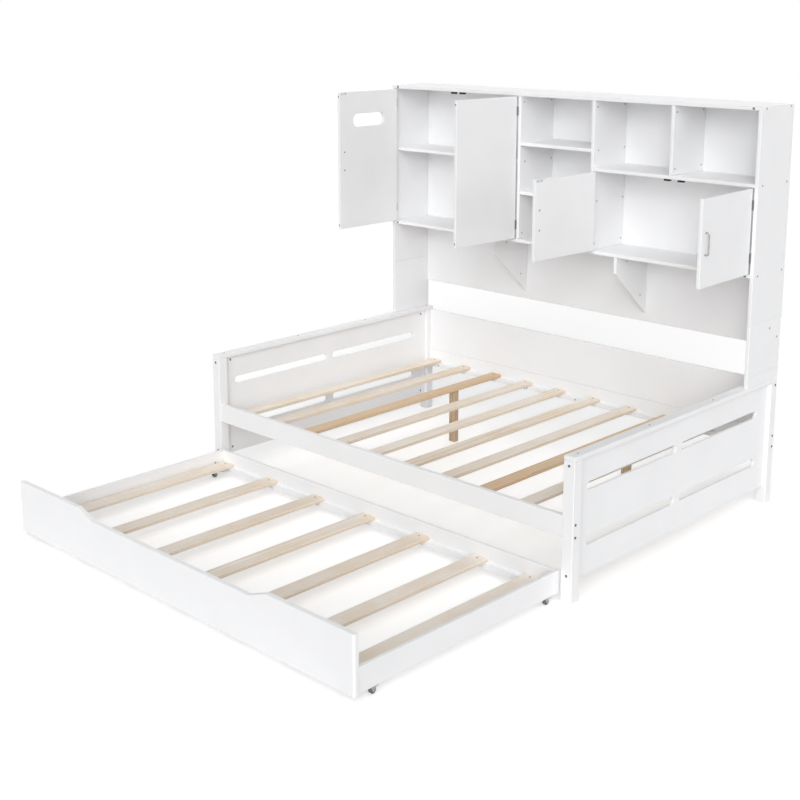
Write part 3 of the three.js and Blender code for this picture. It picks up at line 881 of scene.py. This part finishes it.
def caster_fork(name, hub, under, finish):
    """A pressed plate with two cheeks, and the riveted axle."""
    half_width, plate_thick, sheet = 0.012, 0.002, 0.0015
    cheek_in, cheek_half, cheek_drop, cheek_taper = 0.0067, 0.0105, 0.0045, 0.42
    bottom = under - plate_thick
    plate = block("plate", (hub.x - half_width, hub.y - PLATE_HALF, bottom),
                  (hub.x + half_width, hub.y + PLATE_HALF, under))
    round_edges(plate, 0.003, 4, lambda a, b: abs(a.z - b.z) > 0.001)
    ease(plate, 0.0003, 2, 60)
    parts = [plate]
    for side in (-1, 1):
        inner = hub.x + side * cheek_in
        cheek = block("cheek", (inner, hub.y - cheek_half, hub.z - cheek_drop),
                      (inner + side * sheet, hub.y + cheek_half, under - 0.001))
        pick(cheek, faces=lambda each: each.normal.z < -0.9)
        bpy.ops.transform.resize(value=(1, cheek_taper, 1))
        done()
        round_edges(cheek, 0.003, 5, lambda a, b: abs(a.x - b.x) > 0.001 and a.z < hub.z)
        parts.append(cheek)
        rivet = rod("rivet", 0.0034, (hub.x + side * 0.008, hub.y, hub.z),
                    (hub.x + side * 0.0094, hub.y, hub.z), 20)
        ease(rivet, 0.0006, 3)
        parts.append(rivet)
    half_axle = Vector((0.0085, 0, 0))
    parts.append(rod("axle", 0.0022, hub - half_axle, hub + half_axle, 20))
    screws = flat_screws("screws", [
        (Vector((hub.x, hub.y + s * 0.0155, bottom)), (0, 0, -1)) for s in (-1, 1)], 0.0026)
    hand_over(join(name, parts + [screws]), "trundle", finish)


def caster_wheel(stem, hub, tyre):
    """A wheel with a rounded tread, dished sides and a bored hub."""
    half, radius = Vector((0.006, 0, 0)), 0.0115
    made = rod(f"caster_wheel_{stem}", radius, hub - half, hub + half, 40)
    pick(made, faces=lambda each: abs(each.normal.x) > 0.9)
    bpy.ops.mesh.inset(thickness=0.003, depth=0, use_individual=True)
    bpy.ops.mesh.inset(thickness=0.0006, depth=-0.0012, use_individual=True)
    done()
    past, bore = Vector((0.02, 0, 0)), 0.0026
    cut(made, rod("bore", bore, hub - past, hub + past, 24))
    ease(made, 0.0006, 3, 60)
    hand_over(made, f"wheel_{stem}", tyre, (f"wheel_{stem}",))


class TRUNDLEBED_OT_casters(bpy.types.Operator):
    """Make the trundle's side boards with their casters and wheels"""

    bl_idname = "trundle_bed.casters"
    bl_label = "Trundle sides and casters"

    def execute(self, context):
        paint, zinc, tyre = MATERIALS["paint"], MATERIALS["zinc"], MATERIALS["tyre"]
        under, over, block_top, block_inner = 0.027, 0.114, 0.0507, 0.034
        for word, side in SIDES.items():
            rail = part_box(f"trundle_rail_{word}")
            outer = MIDDLE + side * 0.945
            board = plain_board(f"trundle_side_{word}", (outer - side * BOARD, rail[0].y, under),
                                (outer, rail[1].y, over))
            parts = [board]
            for end in ("front", "rear"):
                low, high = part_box(f"wheel_{end}_{word}")
                hub = (low + high) / 2
                parts.append(plain_board(
                    "caster_block", (outer - side * BOARD, hub.y - PLATE_HALF, under),
                    (outer - side * block_inner, hub.y + PLATE_HALF, block_top), 0.001))
                caster_fork(f"caster_{end}_{word}", hub, under, zinc)
                caster_wheel(f"{end}_{word}", hub, tyre)
            side_piece = join(f"trundle_side_{word}", parts)
            hand_over(side_piece, "trundle", paint, (f"trundle_rail_{word}",))
        return {"FINISHED"}


class TRUNDLEBED_OT_bookcase_bolts(bpy.types.Operator):
    """Make the bolts and cam ends that show on the bookcase and the doors"""

    bl_idname = "trundle_bed.bookcase_bolts"
    bl_label = "Bookcase bolts"

    def execute(self, context):
        fittings = context.scene.trundle_bed_fittings
        steel, zinc = MATERIALS["steel"], MATERIALS["zinc"]
        left, right = (-1, 0, 0), (1, 0, 0)
        # heights of the middles of the top, the shelf and the bottom, and the bolts' two lines
        top, shelf, bottom = 1672.5, 1370, 1007.5
        bolt_lines, cam_lines = (1185, 1379), (1172, 1373)
        case_front, side_face = 1151, 1000
        for word, side in SIDES.items():
            out = (side, 0, 0)
            places = [(at(side * side_face, y, z), out)
                      for z in (top, shelf, bottom) for y in bolt_lines]
            places += [(at(side * side_face, y, z), out) for y, z in ((1309, 773), (1371, 727))]
            hand_over(bolt_heads(f"side_bolts_{word}", places, fittings.bolt_radius), "bed", zinc)
            front = [(at(side * 963, case_front, z), (0, -1, 0)) for z in (top, bottom)]
            hand_over(bolt_heads(f"front_bolts_{word}", front, fittings.bolt_radius), "bed", steel)
        # each row: the face that the bolts stand on, the way they point, their heights and lines
        inner = [(at(x, y, z), way) for x, way, heights, lines in (
            (-195, right, (1638, 1043), cam_lines), (210, right, (1638, 1043), cam_lines),
            (605, right, (1638, 1405), cam_lines), (-195, right, (shelf,), bolt_lines),
            (210, right, (1229, 1451), bolt_lines), (-210, left, (1229, 1451), bolt_lines),
            (195, left, (shelf,), bolt_lines)) for z in heights for y in lines]
        gusset_middle, gusset_half = 339, 7.5
        for side in SIDES.values():
            face = side * gusset_middle + gusset_half
            inner += [(at(face, y, z), right) for y, z in ((1230, 975), (1341, 808))]
        inner.append((at(gusset_half - gusset_middle, 1184, 989.5), right))
        hand_over(bolt_heads("divider_bolts", inner, 0.0042), "bed", zinc)
        for door in door_table(fittings)[:2]:
            far = near_and_far(door, fittings)[1]
            middle = fittings.door_face + fittings.door_thick / 2
            caps = barrel_nuts(f"{door['name']}_edge_caps", [
                (Vector((far, middle, z)), (door["way"], 0, 0)) for z in (1.644, 1.036)], 0.004)
            hand_over(hang(caps, door), door["name"], steel)
        return {"FINISHED"}


class TRUNDLEBED_OT_frame_bolts(bpy.types.Operator):
    """Make the bolts, barrel nuts and screws of the bed's frame, slats and trundle"""

    bl_idname = "trundle_bed.frame_bolts"
    bl_label = "Frame bolts and slat screws"

    def execute(self, context):
        fittings = context.scene.trundle_bed_fittings
        steel = MATERIALS["steel"]
        screw = fittings.screw_radius
        post_middle, board_face, depth, cap_top, heights = 976.5, 969, 1401, 544, (509, 101)
        for word, side in SIDES.items():
            out, inward = (side, 0, 0), (-side, 0, 0)
            bolts = [(at(side * post_middle, y, z), (0, way, 0))
                     for y, way in ((0, -1), (depth, 1)) for z in heights]
            bolts += [(at(side * 1000, y, z), out)
                      for y, z in ((15, 247), (15, 294), (1386, 247), (1386, 294), (1387, 515))]
            hand_over(bolt_heads(f"post_bolts_{word}", bolts, fittings.bolt_radius), "bed", steel)
            nuts = [(at(side * board_face, y, z), inward) for y in (77, 1324) for z in heights]
            hand_over(barrel_nuts(f"barrel_nuts_{word}", nuts, 0.005), "bed", steel)
            caps = [(at(side * post_middle, y, cap_top), (0, 0, 1)) for y in (49, 490, 934, 1375)]
            hand_over(flat_screws(f"cap_screws_{word}", caps, screw), "bed", steel)
        cleat_front, cleat_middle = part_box("rear_rail")[0].y, 0.248
        places = [(Vector((at(x, 0, 0).x, cleat_front, cleat_middle)), (0, -1, 0))
                  for x in (-868, -580, -290, 0, 290, 580, 868)]
        hand_over(flat_screws("cleat_screws", places, screw), "bed", steel)
        for stem, count, body, inset in (("bed_slat", 10, "bed", 0.02),
                                         ("trundle_slat", 7, "trundle", 0.022)):
            places = []
            for number in range(1, count + 1):
                low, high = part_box(f"{stem}_{number:02d}")
                middle = (low.x + high.x) / 2
                places += [(Vector((middle, y, high.z)), (0, 0, 1))
                           for y in (low.y + inset, high.y - inset)]
            hand_over(flat_screws(f"{stem}_screws", places, screw), body, steel)
        rear, rail_inner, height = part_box("trundle_back")[0].y, 0.93, 0.067
        nuts = [(Vector((MIDDLE + side * rail_inner, rear - 0.03, height)), (-side, 0, 0))
                for side in SIDES.values()]
        hand_over(barrel_nuts("trundle_nuts", nuts, 0.005), "trundle", MATERIALS["zinc"])
        return {"FINISHED"}


class TRUNDLEBED_OT_studio(bpy.types.Operator):
    """Make the floor, the light and the camera"""

    bl_idname = "trundle_bed.studio"
    bl_label = "Studio"

    def execute(self, context):
        stage = context.scene.trundle_bed_stage
        only(None)
        bpy.ops.mesh.primitive_plane_add(size=40)
        floor = called("studio_floor")
        made = bpy.data.materials.new("studio_floor")
        made.use_nodes = True
        tree = made.node_tree
        shader = tree.nodes["Principled BSDF"]
        place = put(tree, "TexCoord").outputs["Object"]
        grey = blend_colours(tree, noise(tree, place, 30.0), opaque(stage.floor),
                             opaque([c * 0.985 for c in stage.floor]))
        tree.links.new(grey, shader.inputs["Base Color"])
        for label, value in (("Roughness", 0.9), ("Specular IOR Level", 0.1),
                             ("Emission Color", (1, 1, 1, 1))):
            shader.inputs[label].default_value = value
        seen = put(tree, "LightPath").outputs["Is Camera Ray"]
        lift = times(tree, seen, 0.38)
        tree.links.new(lift, shader.inputs["Emission Strength"])
        floor.data.materials.append(made)

        world = context.scene.world or bpy.data.worlds.new("studio")
        context.scene.world = world
        world.use_nodes = True
        tree = world.node_tree
        tree.nodes.clear()
        path = put(tree, "LightPath").outputs
        shown = math_node(tree, "MAXIMUM", path["Is Camera Ray"],
                          math_node(tree, "MAXIMUM", path["Is Glossy Ray"],
                                    path["Is Transmission Ray"]))
        soft = put(tree, "Background", {"Color": (1, 1, 1, 1), "Strength": stage.sky})
        white = put(tree, "Background", {"Color": (1, 1, 1, 1), "Strength": 1.0})
        mixed = put(tree, "MixShader", {0: shown, 1: soft.outputs[0], 2: white.outputs[0]})
        put(tree, "OutputWorld", {"Surface": mixed.outputs[0]})

        # each lamp's turn from the front towards the right, its height and its width, in degrees
        for name, strength, turn, height, spread in (
                ("front_lamp", stage.front_lamp, 25, 15, 30),
                ("corner_lamp", stage.corner_lamp, 45, 28, 30),
                ("side_lamp", stage.side_lamp, 92, 10, 30),
                ("top_lamp", stage.top_lamp, 45, 60, 60),
                ("rear_lamp", stage.rear_lamp, -136, 18, 60)):
            only(None)
            tilt = math.radians(90 - height), 0, math.radians(turn)
            bpy.ops.object.light_add(type="SUN", location=(0, 0, 6), rotation=tilt)
            lamp = called(name)
            lamp.data.energy = strength
            lamp.data.angle = math.radians(spread)

        only(None)
        bpy.ops.object.camera_add(
            location=stage.camera_place,
            rotation=(math.radians(90) - stage.camera_dip, 0, stage.camera_turn))
        camera = called("camera")
        camera.data.sensor_width = 36
        camera.data.lens = stage.lens
        camera.data.shift_y = -0.14
        context.scene.camera = camera
        context.scene.view_settings.view_transform = "Standard"
        return {"FINISHED"}


OPERATORS = (
    TRUNDLEBED_OT_studio,
    TRUNDLEBED_OT_boards,
    TRUNDLEBED_OT_uprights,
    TRUNDLEBED_OT_doors,
    TRUNDLEBED_OT_hinges,
    TRUNDLEBED_OT_pulls,
    TRUNDLEBED_OT_catches,
    TRUNDLEBED_OT_casters,
    TRUNDLEBED_OT_bookcase_bolts,
    TRUNDLEBED_OT_frame_bolts,
)


class TRUNDLEBED_PT_panel(bpy.types.Panel):
    """Lists the steps that build the bed, with the sizes and colours that they use"""

    bl_idname = "TRUNDLEBED_PT_panel"
    bl_label = "Trundle bed"
    bl_space_type = "VIEW_3D"
    bl_region_type = "UI"
    bl_category = "Trundle bed"

    def draw(self, context):
        for operator in OPERATORS:
            self.layout.operator(operator.bl_idname)
        for settings in (context.scene.trundle_bed_finishes, context.scene.trundle_bed_fittings,
                         context.scene.trundle_bed_stage):
            box = self.layout.box()
            for name in settings.__annotations__:
                box.prop(settings, name)


SETTINGS = {
    "trundle_bed_finishes": TrundleBedFinishes,
    "trundle_bed_fittings": TrundleBedFittings,
    "trundle_bed_stage": TrundleBedStage,
}


def register():
    for kind in (*SETTINGS.values(), *OPERATORS, TRUNDLEBED_PT_panel):
        bpy.utils.register_class(kind)
    for name, kind in SETTINGS.items():
        setattr(bpy.types.Scene, name, bpy.props.PointerProperty(type=kind))


def unregister():
    for name in SETTINGS:
        delattr(bpy.types.Scene, name)
    for kind in reversed((*SETTINGS.values(), *OPERATORS, TRUNDLEBED_PT_panel)):
        bpy.utils.unregister_class(kind)


def main():
    register()
    for operator in OPERATORS:
        family, name = operator.bl_idname.split(".")
        getattr(getattr(bpy.ops, family), name)()


if __name__ == "__main__":
    main()
